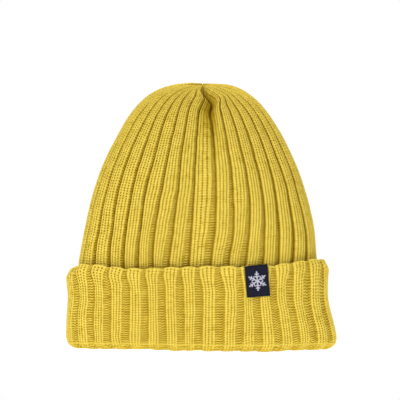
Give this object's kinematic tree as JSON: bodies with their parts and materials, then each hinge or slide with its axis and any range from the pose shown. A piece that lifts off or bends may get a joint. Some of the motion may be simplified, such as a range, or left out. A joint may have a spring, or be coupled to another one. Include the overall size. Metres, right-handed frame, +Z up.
{
  "type": "cuffed knit beanie",
  "caption": "Soft rib-knit beanie with a gathered crown, a turned-up cuff and a small woven label folded over the cuff's edge.",
  "frame": {"origin": "centre of the footprint, on the surface that the cuff's fold stands on", "axes": "+Z up through the crown, -Y towards the front of the hat, +X towards the wearer's left, where the label is"},
  "size_m": [0.23, 0.092, 0.2335],
  "materials": {
    "body_knit": "soft matt mustard rib knit",
    "cuff_knit": "soft matt mustard rib knit",
    "thread": "mustard yarn",
    "label_cloth": "fine navy damask weave",
    "label_motif": "pale grey weft",
    "label_thread": "navy sewing thread",
    "care_label": "white satin tape"
  },
  "bodies": {
    "hat": {"knit_body": "body_knit", "turned_up_cuff": "cuff_knit", "gather_thread": "thread", "back_seam": "thread", "cuff_seam": "thread", "label_back_leg": "label_cloth", "label_stitches": "label_thread", "care_label_stitches": "thread"},
    "label_flap": {"label_front_flap": "label_cloth", "label_motif": "label_motif"},
    "care_flap": {"care_label": "care_label"}
  },
  "joints": [
    {"name": "label_flap_hinge", "type": "hinge", "parent": "hat", "child": "label_flap", "pos_m": [0.04958, -0.04231, 0.07516], "axis": [-0.9938, -0.0696, -0.0871], "range_deg": [0, 150]},
    {"name": "care_label_hinge", "type": "hinge", "parent": "hat", "child": "care_flap", "pos_m": [0.018, 0.02929, 0.062], "axis": [-1, 0, 0], "range_deg": [0, 60]}
  ]
}
